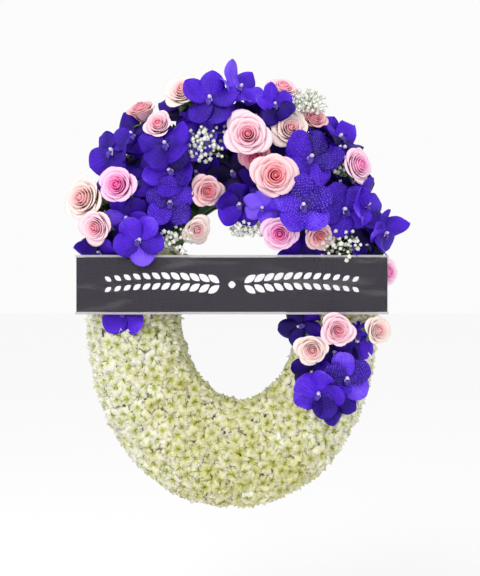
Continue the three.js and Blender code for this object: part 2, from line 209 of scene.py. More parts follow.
def roseFinish(name, colours):
    finish = Finish(name)
    layer = finish.attribute("layerDepth")
    along = finish.attribute("alongPetal")
    veins = finish.noise(finish.stretched(finish.petalMap(), (26, 2.2, 1)), 1.0, 3)
    cloud = finish.noise(finish.position(), 60)
    depth = layer * 0.95 + along * 0.34 + (cloud - 0.5) * 0.2 - 0.1
    base = finish.ramp(
        depth,
        [
            (0.0, tint(*colours["heart"])),
            (0.24, tint(*[0.5 * (a + b) for a, b in zip(colours["heart"], colours["middle"])])),
            (0.46, tint(*colours["middle"])),
            (0.85, tint(*colours["rim"])),
        ],
    )
    veined = finish.blend((veins - 0.42) * 0.5, base, tint(*colours["middle"]))
    return finish.surface(
        {
            "Base Color": veined,
            "Roughness": 0.5 + veins * 0.12,
            "Normal": finish.bump(veins, 0.25, 0.001),
            "Specular IOR Level": 0.3,
        }
    )


orchidLook = {
    # The deep stop is deep violet and also painted shade; the pale stop is lavender and also painted
    # highlight on folded petals.
    "deepAndPaintedShade": (17, 3, 58),
    "body": (48, 8, 146),
    "bright": (84, 32, 216),
    "pale": (124, 84, 240),
    "speckle": (132, 100, 232),
    "lip": (60, 22, 140),
    "column": (226, 214, 244),
}


def orchidFinish():
    finish = Finish("vanda_petal")
    tone = finish.attribute("flowerTone")
    speckled = finish.attribute("speckle")
    along = finish.attribute("alongPetal")
    cloud = finish.noise(finish.position(), 45)
    veins = finish.noise(finish.stretched(finish.petalMap(), (13, 1.4, 1)), 1.0, 2)
    cells = finish.node(
        "TexVoronoi",
        {"feature": "F1"},
        {"Vector": finish.stretched(finish.petalMap(), (13, 15, 1)), "Scale": 1.0, "Randomness": 0.35},
        output="Distance",
    )
    spots = finish.node(
        "MapRange",
        {"clamp": True},
        {"Value": cells, "From Min": 0.42, "From Max": 0.16, "To Min": 0.0, "To Max": 1.0},
    )
    # Painted shade and highlight: low tones darken whole blooms set back in the gaps, the along term darkens
    # petal bases towards the throat, and the top of the ramp paints highlights.
    base = finish.ramp(
        tone * 0.74 + (cloud - 0.5) * 0.5 + along * 0.34 + (veins - 0.5) * 0.5 - 0.10,
        [
            (0.0, tint(*orchidLook["deepAndPaintedShade"])),
            (0.38, tint(*orchidLook["body"])),
            (0.74, tint(*orchidLook["bright"])),
            (1.0, tint(*orchidLook["pale"])),
        ],
    )
    marked = finish.blend(spots * speckled * 0.8, base, tint(*orchidLook["speckle"]))
    return finish.surface(
        {
            "Base Color": marked,
            "Roughness": 0.46 + veins * 0.16,
            "Normal": finish.bump(veins * 0.8 + spots * 0.2, 0.35, 0.0012),
            "Specular IOR Level": 0.18,
        }
    )


def plainFinish(name, low, high, scale, roughness, bumpDistance=0.0006):
    finish = Finish(name)
    cloud = finish.noise(finish.position(), scale, 4)
    return finish.surface(
        {
            "Base Color": finish.blend((cloud - 0.3) * 2.2, tint(*low), tint(*high)),
            "Roughness": roughness + (cloud - 0.5) * 0.15,
            "Normal": finish.bump(cloud, 0.4, bumpDistance),
        }
    )


def chrysanthemumFinish():
    finish = Finish("chrysanthemum_petal")
    radial = finish.attribute("radial")
    tone = finish.attribute("headTone")
    cloud = finish.noise(finish.position(), 220)
    white = finish.ramp(
        radial + (cloud - 0.5) * 0.3,
        [
            (0.0, tint(158, 172, 66)),
            (0.13, tint(200, 206, 116)),
            (0.3, tint(228, 227, 186)),
            (0.6, tint(242, 240, 216)),
            (1.0, tint(251, 250, 241)),
        ],
    )
    cream = finish.ramp(
        radial + (cloud - 0.5) * 0.3,
        [
            (0.0, tint(136, 150, 40)),
            (0.14, tint(180, 186, 76)),
            (0.36, tint(208, 205, 130)),
            (1.0, tint(236, 231, 186)),
        ],
    )
    return finish.surface(
        {
            # The blend toward cream is random tone, made weaker toward the ring's sides as painted side
            # light.
            "Base Color": finish.blend(tone, white, cream),
            "Roughness": 0.6,
            "Normal": finish.bump(cloud, 0.3, 0.0008),
        }
    )


def leafFinish():
    # Dark-green leaves whose dark tone also paints the shade in the gaps between blooms.
    finish = Finish("dark_leaf_and_painted_shade")
    veins = finish.noise(finish.stretched(finish.petalMap(), (3, 22, 1)), 1.0, 2)
    cloud = finish.noise(finish.position(), 30)
    return finish.surface(
        {
            "Base Color": finish.blend(veins * 0.5 + (cloud - 0.5), tint(22, 44, 26), tint(52, 88, 48)),
            "Roughness": 0.4 + veins * 0.2,
            "Normal": finish.bump(veins, 0.5, 0.001),
        }
    )


def foamFinish():
    # Green foam with darker pores; its dark tone also paints the shade in the gaps between blooms.
    finish = Finish("foam_dark_for_painted_shade")
    pores = finish.node(
        "TexVoronoi", {"feature": "F1"}, {"Vector": finish.position(), "Scale": 700.0}, output="Distance"
    )
    cloud = finish.noise(finish.position(), 25)
    return finish.surface(
        {
            "Base Color": finish.blend(pores * 0.8 + cloud * 0.4, tint(20, 44, 26), tint(58, 96, 56)),
            "Roughness": 0.9,
            "Normal": finish.bump(pores, 0.5, 0.0006),
        }
    )


def cardFinish():
    finish = Finish("slate_card")
    cloud = finish.noise(finish.position(), 6)
    return finish.surface(
        {
            "Base Color": finish.blend(cloud, tint(34, 30, 44), tint(46, 41, 52)),
            "Roughness": 0.5 + cloud * 0.1,
            "Specular IOR Level": 0.1,
        }
    )


filmLook = {
    "below": 0.283,  # the sleeve's middle, under the origin
    "sealFrom": 0.0448,  # the sealed edges start this far from the middle
    "slant": 0.7,
    "creaseScale": (7, 1, 40),
    "haze": 0.02,
    # The next two values paint reflections: paler streaks along the creases and a paler glint band along the
    # sealed edges.
    "creaseGlint": 0.06,
    "sealGlint": 0.4,
}


def sleeveFinish():
    # Clear film: nearly all see-through, with painted reflections: faint paler streaks along slanting creases
    # and a paler painted glint band along the sealed edges.
    finish = Finish("clear_film")
    position = finish.position()
    slant = finish.node(
        "Mapping",
        None,
        {"Vector": position, "Rotation": (0, filmLook["slant"], 0), "Scale": filmLook["creaseScale"]},
    )
    # Paler streaks along the creases: painted reflections.
    creaseGlints = finish.node(
        "MapRange",
        {"clamp": True},
        {
            "Value": finish.noise(slant, 1.0, 3),
            "From Min": 0.56,
            "From Max": 0.72,
            "To Min": 0.0,
            "To Max": 1.0,
        },
    )
    height = finish.node("SeparateXYZ", None, {"Vector": position}, output=2)
    # A paler band along the sealed edges: painted glint.
    sealGlintBand = finish.math("ABSOLUTE", height + filmLook["below"]) > filmLook["sealFrom"]
    return finish.surface(
        {
            "Base Color": tint(206, 202, 202),
            "Alpha": filmLook["haze"] + creaseGlints * filmLook["creaseGlint"] + sealGlintBand * filmLook["sealGlint"],
            "Roughness": 0.5,
            "Specular IOR Level": 0.04,
        }
    )


def steelFinish():
    finish = Finish("plain_steel")
    grain = finish.noise(finish.stretched(finish.position(), (900, 900, 30)), 1.0, 2)
    return finish.surface(
        {
            "Base Color": finish.blend(grain, tint(120, 122, 126), tint(172, 174, 178)),
            "Metallic": 1.0,
            "Roughness": 0.3 + grain * 0.2,
        }
    )


finishes = {name: roseFinish("rose_" + name, colours) for name, colours in roseColours.items()}
finishes["orchid"] = orchidFinish()
finishes["orchidLip"] = plainFinish("vanda_lip", (44, 14, 124), (100, 64, 196), 160, 0.45)
finishes["orchidColumn"] = plainFinish("vanda_column", (206, 184, 232), (246, 240, 250), 160, 0.45)
finishes["chrysanthemum"] = chrysanthemumFinish()
finishes["bedBase"] = plainFinish("chrysanthemum_cups", (150, 156, 84), (214, 210, 156), 130, 0.8, 0.003)
finishes["floret"] = plainFinish("babys_breath_floret", (220, 224, 206), (252, 252, 248), 260, 0.65)
finishes["sprig"] = plainFinish("babys_breath_stem", (96, 124, 70), (150, 172, 112), 90, 0.6)
finishes["stem"] = plainFinish("flower_stem", (44, 78, 36), (92, 128, 66), 70, 0.5)
finishes["leaf"] = leafFinish()
finishes["foam"] = foamFinish()
finishes["tray"] = plainFinish("tray_plastic", (30, 56, 38), (40, 70, 48), 300, 0.45, 0.0002)
finishes["card"] = cardFinish()
finishes["ornament"] = plainFinish("printed_white", (226, 224, 228), (246, 245, 247), 300, 0.5, 0.0001)
finishes["film"] = sleeveFinish()
finishes["pick"] = plainFinish("pick_wood", (168, 132, 60), (212, 180, 134), 140, 0.75)
finishes["steel"] = steelFinish()
print("finishes made")


def newMesh():
    bm = bmesh.new()
    bm.loops.layers.uv.new("petalMap")
    for name in ("layerDepth", "alongPetal", "flowerTone", "speckle"):
        bm.verts.layers.float.new(name)
    return bm


def finishPiece(name, bm, materials, stands=(), smooth=True):
    mesh = bpy.data.meshes.new(name)
    for face in bm.faces:
        face.smooth = smooth
    bm.to_mesh(mesh)
    bm.free()
    for material in materials:
        mesh.materials.append(finishes[material])
    piece = bpy.data.objects.new(name, mesh)
    bpy.context.scene.collection.objects.link(piece)
    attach(piece, "root")
    if stands:
        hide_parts(*stands)
    return piece


def petalNormal(shape, across, along):
    # The unit normal of a bent petal, from two short steps along it.
    across = max(-0.9, min(0.9, across))
    along = max(0.06, min(0.94, along))
    here = shape(across, along)
    normal = (shape(across + 0.02, along) - here).cross(shape(across, along + 0.02) - here)
    return normal.normalized()


def addPetal(bm, shape, matrix, segments, thickness, marks, material=0):
    # A petal starts as a flat plate of its own thickness, which shape(across, along) then bends.
    made = bmesh.ops.create_grid(bm, x_segments=segments[0], y_segments=segments[1], size=1)
    faces = list({face for vert in made["verts"] for face in vert.link_faces})
    uv = bm.loops.layers.uv["petalMap"]
    for face in faces:
        face.material_index = material
        for loop in face.loops:
            loop[uv].uv = ((loop.vert.co.x + 1) / 2, (loop.vert.co.y + 1) / 2)
    wall = bmesh.ops.solidify(bm, geom=faces, thickness=thickness)["geom"]
    faces += [item for item in wall if isinstance(item, bmesh.types.BMFace)]
    verts = list({vert for face in faces if face.is_valid for vert in face.verts})
    layers = [(bm.verts.layers.float[key], value) for key, value in marks.items()]
    alongLayer = bm.verts.layers.float["alongPetal"]
    for vert in verts:
        across, along = vert.co.x, (vert.co.y + 1) / 2
        vert[alongLayer] = along
        for layer, value in layers:
            vert[layer] = value
        vert.co = matrix @ (shape(across, along) + petalNormal(shape, across, along) * vert.co.z)
    bmesh.ops.remove_doubles(bm, verts=verts, dist=0.00008)
    faces = list({face for vert in verts if vert.is_valid for face in vert.link_faces})
    bmesh.ops.recalc_face_normals(bm, faces=faces)


def addRod(bm, start, end, radius, sides, material=0, radiusEnd=None):
    run = end - start
    turn = run.to_track_quat("Z", "Y").to_matrix().to_4x4()
    place = Matrix.Translation((start + end) / 2) @ turn
    made = bmesh.ops.create_cone(
        bm,
        cap_ends=True,
        segments=sides,
        radius1=radius,
        radius2=radius if radiusEnd is None else radiusEnd,
        depth=run.length,
        matrix=place,
    )
    for face in {face for vert in made["verts"] for face in vert.link_faces}:
        face.material_index = material


roseShape = {
    "petals": 20,
    "wrap": (1.7, 0.88),  # half the angle that a petal takes, at the heart and at the rim
    "petalTurn": 2.39996,  # from one petal to the next
    "petalGrid": (8, 8),
    "thickness": 0.0007,
    "bud": 0.11,
    "hip": 0.2,
    "sepals": 5,
    "stemRadius": 0.0026,
}
# name, x, height in the ring, distance out, radius, lean, turn, colour, openness
roseList = [
    ("rose_01", -0.246, 0.187, 0.092, 0.041, (-30, 8), 0, "blush", 0.95),
    ("rose_02", -0.185, 0.206, 0.122, 0.038, (-16, 4), 20, "hotPink", 0.8),
    ("rose_03", -0.222, 0.138, 0.114, 0.030, (-26, -14), 50, "palePink", 1.0),
    ("rose_04", -0.150, 0.335, 0.086, 0.031, (-34, 58), 10, "duskyPink", 0.8),
    ("rose_05", -0.119, 0.305, 0.118, 0.035, (-10, 18), 80, "palePink", 0.6),
    ("rose_06", -0.080, 0.362, 0.108, 0.034, (-18, 30), 30, "blush", 1.0),
    ("rose_08", 0.026, 0.287, 0.136, 0.039, (-4, 2), 0, "palePink", 1.0),
    ("rose_09", 0.038, 0.254, 0.116, 0.030, (-8, -24), 60, "deepPink", 0.9),
    ("rose_10", 0.069, 0.220, 0.148, 0.038, (4, -2), 40, "salmon", 1.0),
    ("rose_11", 0.096, 0.300, 0.110, 0.034, (8, 14), 100, "blush", 1.0),
    ("rose_12", 0.084, 0.370, 0.082, 0.033, (20, 48), 0, "palePink", 0.9),
    ("rose_13", 0.207, 0.240, 0.112, 0.032, (44, 10), 70, "lilacPink", 1.0),
    ("rose_14", -0.040, 0.198, 0.108, 0.033, (14, -12), 15, "salmon", 0.8),
    ("rose_15", -0.057, 0.135, 0.096, 0.025, (20, -22), 90, "blush", 1.0),
    ("rose_16", 0.078, 0.128, 0.118, 0.033, (-6, -12), 30, "hotPink", 0.9),
    ("rose_17", 0.143, 0.124, 0.112, 0.028, (6, -18), 10, "salmon", 0.9),
    ("rose_18", 0.256, 0.066, 0.090, 0.028, (46, 0), 0, "lilacPink", 0.9),
    ("rose_20", 0.172, -0.029, 0.122, 0.035, (4, -4), 0, "palePink", 0.8),
    ("rose_21", 0.131, -0.061, 0.118, 0.033, (-6, -10), 45, "blush", 0.8),
    ("rose_extra_a", 0.136, 0.320, 0.092, 0.026, (20, 30), 0, "duskyPink", 0.9),
    ("rose_extra_b", 0.239, -0.030, 0.112, 0.027, (30, 0), 30, "blush", 0.9),
]


def rosePetal(radius, depth, openness, start, seed):
    # depth runs from 0 at the heart to 1 at the rim.
    shaper = random.Random(seed)
    reach = depth**1.2 * openness
    tip = Vector((radius * (0.07 + 0.80 * reach), radius * (0.46 - 0.36 * reach)))
    belly = Vector((radius * (0.20 + 0.58 * reach), radius * (-0.32 + 0.04 * reach)))
    root = Vector((radius * 0.07, -0.72 * radius))
    wrap = roseShape["wrap"][0] * (1 - depth) + roseShape["wrap"][1] * depth
    curl = radius * (0.05 + 0.20 * depth**0.7 * openness) * shaper.uniform(0.75, 1.25)
    point = shaper.uniform(0.07, 0.16) + 0.13 * depth
    wave = shaper.uniform(0, 6.28)

    def shape(across, along):
        v = along * (1 - point * abs(across) ** 2.4)
        place = root * (1 - v) ** 2 + belly * 2 * v * (1 - v) + tip * v * v
        lip = max(0.0, (v - 0.66) / 0.34)
        outward = place.x + curl * lip**1.8 + 0.014 * radius * across * (1 + 2 * depth)
        outward += 0.03 * radius * depth * math.sin(4 * across + wave) * v
        height = place.y - curl * 0.75 * lip**2.6 + 0.04 * radius * depth * math.sin(3 * across + wave) * v
        angle = start + across * wrap * (0.42 + 0.58 * min(1, 1.6 * v))
        return Vector((outward * math.cos(angle), outward * math.sin(angle), height))

    return shape


def addSepals(bm, matrix, radius, count, material):
    for index in range(count):
        start = index * 2 * math.pi / count

        def shape(across, along):
            width = 0.16 * radius * math.sin(math.pi * min(1, 0.12 + 0.88 * along)) ** 0.8
            reach = radius * (0.14 + 0.62 * along)
            height = radius * (-0.86 + 0.34 * along - 0.30 * along**3)
            return Vector(
                (
                    reach * math.cos(start) - across * width * math.sin(start),
                    reach * math.sin(start) + across * width * math.cos(start),
                    height,
                )
            )

        addPetal(bm, shape, matrix, (2, 5), 0.0006, {}, material)


def addRose(bm, x, z, out, radius, lean, turn, openness, seed):
    matrix = headMatrix(x, z, out, lean, turn)
    count = roseShape["petals"]
    for index in range(count):
        depth = index / (count - 1)
        start = index * roseShape["petalTurn"] + 0.4 * depth
        shape = rosePetal(radius, depth, openness, start, seed * 100 + index)
        addPetal(bm, shape, matrix, roseShape["petalGrid"], roseShape["thickness"], {"layerDepth": depth})
    bud = bmesh.ops.create_uvsphere(bm, u_segments=10, v_segments=7, radius=radius * roseShape["bud"])
    for vert in bud["verts"]:
        vert.co = matrix @ Vector((vert.co.x, vert.co.y, vert.co.z * 2.2 + 0.12 * radius))
        vert[bm.verts.layers.float["layerDepth"]] = 0.24
    hip = bmesh.ops.create_uvsphere(bm, u_segments=10, v_segments=6, radius=radius * roseShape["hip"])
    for vert in hip["verts"]:
        vert.co = matrix @ Vector((vert.co.x, vert.co.y, vert.co.z * 1.1 - 0.86 * radius))
    for face in {face for vert in hip["verts"] for face in vert.link_faces}:
        face.material_index = 1
    addSepals(bm, matrix, radius, roseShape["sepals"], 1)
    neck = matrix @ Vector((0, 0, -0.95 * radius))
    addRod(bm, neck, footInFoam(x, z), roseShape["stemRadius"], 8, 1)


for seed, (name, x, z, out, radius, lean, turn, colour, openness) in enumerate(roseList):
    bm = newMesh()
    addRose(bm, x, z, out, radius, lean, turn, openness, seed)
    stands = () if "extra" in name else (name,)
    finishPiece(name + "_head", bm, [colour, "stem"], stands)
print("roses made")

orchidShape = {
    "thickness": 0.0009,
    "tepalGrid": (8, 12),
    # each tepal's direction in degrees, its length and width as shares of the radius
    "tepals": [(90, 1.0, 0.43), (162, 0.98, 0.45), (231, 1.02, 0.50), (309, 1.02, 0.50), (18, 0.98, 0.45)],
    "lift": (0.0012, 0.0024, -0.0006, -0.0012, 0.0018),
    "lip": 270,
    "sideLobes": (235, 305),
    "column": 0.075,
    "cupping": 0.14,
    "stemRadius": 0.0016,
}
# name, x, height in the ring, distance out, radius, lean, turn, tone (low tones paint shade on blooms set
# back in the gaps), speckle
orchidList = [
    ("orchid_01", -0.035, 0.346, 0.128, 0.046, (-8, 14), -8, 0.55, 0.25),
    ("orchid_02", 0.012, 0.368, 0.100, 0.042, (38, 34), -50, 0.95, 0.1),
    ("orchid_03", 0.070, 0.338, 0.114, 0.034, (8, 22), 10, 0.5, 0.0),
    ("orchid_05", -0.108, 0.272, 0.124, 0.044, (-8, 24), 14, 0.5, 0.1),
    ("orchid_07", -0.196, 0.264, 0.096, 0.047, (-30, 20), -20, 0.65, 0.1),
    ("orchid_08", -0.165, 0.292, 0.082, 0.044, (-22, 34), 30, 0.2, 0.0),
    ("orchid_10", -0.101, 0.232, 0.118, 0.043, (-12, -4), 35, 0.55, 0.35),
    ("orchid_11", -0.101, 0.181, 0.114, 0.042, (2, -10), 0, 0.65, 0.7),
    ("orchid_13", -0.172, 0.156, 0.100, 0.040, (-14, -16), 24, 0.75, 0.1),
    ("orchid_14", -0.150, 0.118, 0.128, 0.042, (6, -6), -30, 0.95, 0.15),
    ("orchid_16", -0.218, 0.099, 0.088, 0.037, (-26, -10), 0, 0.4, 0.0),
    ("orchid_18", 0.012, 0.179, 0.108, 0.041, (4, -26), 0, 0.4, 0.0),
    ("orchid_19", 0.050, 0.172, 0.128, 0.034, (-14, -34), -15, 1.35, 0.0),
    ("orchid_21", 0.115, 0.173, 0.140, 0.048, (2, 2), 4, 0.65, 1.0),
    ("orchid_22", 0.128, 0.252, 0.118, 0.049, (14, 12), -24, 0.55, 0.5),
    ("orchid_24", 0.178, 0.288, 0.084, 0.044, (30, 34), 20, 0.45, 0.0),
    ("orchid_26", 0.182, 0.168, 0.118, 0.046, (18, -6), 30, 0.65, 0.35),
    ("orchid_27", 0.220, 0.176, 0.102, 0.044, (40, 8), -14, 0.55, 0.1),
    ("orchid_28", 0.252, 0.131, 0.084, 0.040, (48, -6), 16, 0.7, 0.2),
    ("orchid_30", 0.113, 0.092, 0.088, 0.044, (0, -12), 36, 0.5, 0.0),
    ("orchid_31", -0.180, 0.004, 0.092, 0.044, (-8, -6), 0, 0.55, 0.1),
    ("orchid_33", 0.205, -0.048, 0.086, 0.041, (22, 4), 160, 0.6, 0.1),
    ("orchid_34", 0.187, -0.107, 0.112, 0.044, (8, -8), 10, 0.65, 0.7),
    ("orchid_35", 0.142, -0.132, 0.106, 0.044, (-8, -14), -20, 0.6, 0.2),
    ("orchid_extra_a", -0.085, 0.342, 0.080, 0.040, (-20, 30), 12, 0.1, 0.0),
    ("orchid_extra_b", -0.012, 0.305, 0.085, 0.040, (0, 10), 50, 0.6, 0.0),
    ("orchid_extra_c", -0.151, 0.267, 0.080, 0.044, (-14, 14), 65, 0.15, 0.0),
    ("orchid_extra_d", -0.144, 0.227, 0.092, 0.038, (-10, 0), 20, 0.4, 0.0),
    ("orchid_extra_e", -0.136, 0.150, 0.086, 0.040, (0, -6), 50, 0.25, 0.0),
    ("orchid_extra_f", 0.153, 0.300, 0.074, 0.038, (16, 26), 40, 0.6, 0.0),
    ("orchid_extra_g", 0.168, 0.236, 0.086, 0.040, (20, 8), 10, 0.2, 0.0),
    ("orchid_extra_h", 0.112, -0.024, 0.082, 0.038, (-20, 0), 100, 0.5, 0.0),
    ("orchid_extra_i", 0.000, 0.232, 0.080, 0.042, (0, 0), 30, 0.1, 0.0),
    ("orchid_extra_j", 0.060, 0.262, 0.078, 0.042, (0, 0), 0, 0.05, 0.0),
    ("orchid_extra_l", -0.063, 0.290, 0.094, 0.042, (-4, 16), 30, 0.75, 0.0),
    ("orchid_extra_m", -0.190, 0.214, 0.078, 0.040, (-14, 0), 30, 0.1, 0.0),
    ("orchid_extra_n", 0.040, 0.325, 0.074, 0.040, (10, 20), 70, 0.05, 0.0),
    ("orchid_extra_o", -0.060, 0.232, 0.080, 0.042, (0, 0), 10, 0.1, 0.0),
    ("orchid_extra_p", 0.200, 0.215, 0.078, 0.042, (20, 0), 50, 0.2, 0.0),
    ("orchid_extra_q", -0.190, 0.110, 0.088, 0.036, (-10, -4), 50, 0.2, 0.0),
    ("orchid_extra_r", 0.168, -0.066, 0.092, 0.038, (6, 0), 40, 0.15, 0.0),
    ("orchid_extra_s", 0.132, -0.098, 0.094, 0.036, (-10, -8), 0, 0.3, 0.0),
    ("orchid_extra_t", 0.168, -0.146, 0.096, 0.036, (4, -20), 36, 0.5, 0.1),
    ("orchid_extra_k", 0.222, 0.110, 0.080, 0.038, (24, 0), 40, 0.3, 0.0),
]


def tepalShape(radius, at, length, width, seed):
    shaper = random.Random(seed)
    middle = math.radians(at + shaper.uniform(-5, 5))
    twist = shaper.uniform(-0.50, 0.50)
    bend = shaper.uniform(-0.34, 0.46)
    ruffle = shaper.uniform(0.04, 0.12)
    wave = shaper.uniform(0, 6.28)
    out = Vector((math.cos(middle), math.sin(middle), 0))
    side = Vector((-math.sin(middle), math.cos(middle), 0))

    def shape(across, along):
        turned = math.pi * (0.04 + 0.96 * along)
        swell = math.sin(turned)
        far = 0.5 - 0.5 * math.cos(turned)
        half = radius * width * (swell * (0.78 + 0.26 * far) + 0.17 * (1 - far))
        reach = radius * length * (0.05 + 0.95 * far)
        height = orchidShape["cupping"] * radius * far**1.6 + bend * radius * far**2.4
        height -= 0.16 * radius * across**2 * swell
        height += twist * half * across
        height += ruffle * radius * across**2 * math.sin(7 * far + wave + 1.3 * across)
        height += 0.03 * radius * (1 - abs(across)) ** 2 * -swell
        return out * reach + side * half * across + Vector((0, 0, height))

    return shape


def lipShape(radius, start):
    out = Vector((math.cos(start), math.sin(start), 0))
    side = Vector((-math.sin(start), math.cos(start), 0))

    def shape(across, along):
        half = radius * (0.045 + 0.06 * math.sin(math.pi * along) ** 0.7)
        reach = radius * 0.30 * along
        height = radius * (0.05 + 0.20 * along - 0.22 * along**2.6 + 0.05 * across**2)
        return out * reach + side * half * across + Vector((0, 0, height))

    return shape


def addOrchid(bm, x, z, out, radius, lean, turn, tone, speckle, seed):
    shaper = random.Random(seed)
    matrix = headMatrix(x, z, out, lean, turn)
    for index, (at, length, width) in enumerate(orchidShape["tepals"]):
        # The tone is low on set-back blooms as painted shade, and it varies at random from petal to petal.
        marks = {"flowerTone": tone + shaper.uniform(-0.40, 0.34), "speckle": speckle}
        lift = Matrix.Translation((0, 0, orchidShape["lift"][index]))
        shape = tepalShape(radius, at, length, width, seed * 10 + index)
        addPetal(bm, shape, matrix @ lift, orchidShape["tepalGrid"], orchidShape["thickness"], marks)
    addPetal(bm, lipShape(radius, math.radians(orchidShape["lip"])), matrix, (4, 7), 0.0012, {}, 1)
    for side in orchidShape["sideLobes"]:
        addPetal(bm, lipShape(radius * 0.55, math.radians(side)), matrix, (3, 5), 0.0010, {}, 2)
    column = bmesh.ops.create_uvsphere(bm, u_segments=10, v_segments=7, radius=radius * orchidShape["column"])
    for vert in column["verts"]:
        x0, y0, z0 = vert.co
        vert.co = matrix @ Vector((x0, y0 * 0.9 + 0.02 * radius, z0 * 1.7 + 0.12 * radius))
    for face in {face for vert in column["verts"] for face in vert.link_faces}:
        face.material_index = 2
    neck = matrix @ Vector((0, 0, 0.0))
    addRod(bm, neck, footInFoam(x, z), orchidShape["stemRadius"], 7, 3)


for seed, (name, x, z, out, radius, lean, turn, tone, speckle) in enumerate(orchidList):
    bm = newMesh()
    addOrchid(bm, x, z, out, radius, lean, turn, tone, speckle, seed)
    stands = () if "extra" in name else (name,)
    finishPiece(name + "_flower", bm, ["orchid", "orchidLip", "orchidColumn", "stem"], stands)
print("orchids made")

mumBed = {
    "spacing": 0.0150,
    "radius": (0.0152, 0.0204),
    "sink": 0.008,  # how deep a head sits under the bed's outline
    "spokes": 18,
    "tries": 12000,
    "clearing": 0.88,  # no head stands nearer to a bloom than this share of the bloom's radius
    "tilt": 0.28,
    "ruffle": 0.12,
    "tone": (0.60, 0.25),  # how creamy a head is, and how much that varies
    # Heads toward the ring's sides are made whiter: painted light for the stronger light falling on the
    # sides.
    "paintedSideLight": 0.95,
    "baseReach": 43,
    "baseRise": 0.049,
    "stretches": {  # first and last degree round the ring
        "chrysanthemums_left": (150, 210),
        "chrysanthemums_lower_left": (210, 260),
        "chrysanthemums_bottom": (260, 310),
        "chrysanthemums_right": (310, 370),
    },
}


def mumTemplate():
    # One head: a ball of three rings whose spokes are pulled in and out to make rows of petals.
    bm = bmesh.new()
    radial = bm.verts.layers.float.new("radial")
    bm.verts.layers.float.new("headTone")
    spokes = mumBed["spokes"]
    bmesh.ops.create_uvsphere(bm, u_segments=spokes, v_segments=4, radius=1)
    rings = {  # from the top: (tip reach, tip height, valley reach, valley height, mark)
        3: (0.17, 0.30, 0.24, 0.42, 0.22),
        2: (0.50, 0.30, 0.66, 0.52, 0.60),
        1: (1.00, 0.12, 0.76, 0.02, 1.0),
    }
    for vert in bm.verts:
        level = round((math.asin(max(-1, min(1, vert.co.z))) + math.pi / 2) / (math.pi / 4))
        angle = math.atan2(vert.co.y, vert.co.x)
        tip = round(angle / (2 * math.pi / spokes)) % 2 == 0
        if level in rings:
            tipReach, tipHeight, valleyReach, valleyHeight, mark = rings[level]
            reach, height = (tipReach, tipHeight) if tip else (valleyReach, valleyHeight)
            vert.co = Vector((reach * math.cos(angle), reach * math.sin(angle), height))
            # Valley points get a slightly lower mark: painted shade in the creases between petals.
            vert[radial] = mark - (0 if tip else 0.06)
        else:
            vert.co = Vector((0, 0, 0.16 if level == 4 else -0.5))
            vert[radial] = 0.0
    mesh = bpy.data.meshes.new("chrysanthemum_head")
    bm.to_mesh(mesh)
    bm.free()
    return mesh


def bedPoint(degrees, turn):
    # A point on the bed's outline; turn runs from 0 at its outer edge to pi at its inner edge.
    across = 50 + 50 * math.copysign(abs(math.cos(turn)) ** 0.8, math.cos(turn))
    lift = ring["bedFront"] - ring["bedShoulder"]
    return ringPoint(degrees, across, ring["bedShoulder"] + lift * max(0, math.sin(turn)) ** 0.8)


def bedNormal(degrees, turn):
    step = 0.02
    along = bedPoint(degrees + 0.5, turn) - bedPoint(degrees - 0.5, turn)
    around = bedPoint(degrees, min(math.pi, turn + step)) - bedPoint(degrees, max(0, turn - step))
    normal = along.cross(around).normalized()
    inward = ringPoint(degrees, 50, 0.05) - bedPoint(degrees, turn)
    return -normal if normal.dot(inward) > 0 else normal


blooms = [
    (Vector((x, -out, z - ring["eyeHeight"])), radius)
    for _, x, z, out, radius, *_ in roseList + orchidList
]


def bedGirth():
    # Turns that are evenly spaced over the bed's outline, its sides behind the shoulders included.
    turns = [-0.16 + (math.pi + 0.32) * i / 400 for i in range(401)]
    places = [bedSpot(240, turn)[0] for turn in turns]
    run = [0.0]
    for first, second in zip(places, places[1:]):
        run.append(run[-1] + (second - first).length)
    return turns, run


def bedSpot(degrees, turn):
    if 0 <= turn <= math.pi:
        return bedPoint(degrees, turn), bedNormal(degrees, turn)
    across = 100 if turn < 0 else 0
    over = -turn if turn < 0 else turn - math.pi
    point = ringPoint(degrees, across, ring["bedShoulder"] - over * 0.08)
    return point, bedNormal(degrees, 0.06 if turn < 0 else math.pi - 0.06)


def scatterHeads(first, last, taken):
    heads = []
    turns, run = bedGirth()
    for _ in range(mumBed["tries"]):
        degrees = rng.uniform(first, last)
        turn = float(numpy.interp(rng.uniform(0, run[-1]), run, turns))
        point, normal = bedSpot(degrees, turn)
        centre = point - normal * mumBed["sink"]
        if taken:
            gaps = numpy.sum((numpy.array(taken) - numpy.array(centre)) ** 2, axis=1)
            if numpy.min(gaps) < mumBed["spacing"] ** 2:
                continue
        if any((centre - at).length < radius * mumBed["clearing"] for at, radius in blooms):
            continue
        taken.append(tuple(centre))
        heads.append((centre, normal))
    return heads


def addBedBase(bm, first, last, tone):
    # What shows in the gaps between heads: the green cups and lower petals, as one body.
    verts = bmesh.ops.create_grid(bm, x_segments=20, y_segments=36, size=1)["verts"]
    for vert in verts:
        degrees = first + (last - first) * (vert.co.x + 1) / 2
        turn = math.pi * (vert.co.y + 1)
        across = 50 + mumBed["baseReach"] * math.copysign(abs(math.cos(turn)) ** 0.8, math.cos(turn))
        swell = mumBed["baseRise"] if math.sin(turn) > 0 else -0.010
        rise = swell * abs(math.sin(turn)) ** 0.8
        vert.co = ringPoint(degrees, across, ring["bedShoulder"] + rise)
        vert[tone] = 1.0
    faces = list({face for vert in verts for face in vert.link_faces})
    bmesh.ops.remove_doubles(bm, verts=verts, dist=0.00005)
    edges = [edge for edge in bm.edges if edge.is_boundary]
    faces = [face for face in faces if face.is_valid] + bmesh.ops.holes_fill(bm, edges=edges)["faces"]
    for face in faces:
        face.material_index = 1
    bmesh.ops.recalc_face_normals(bm, faces=faces)


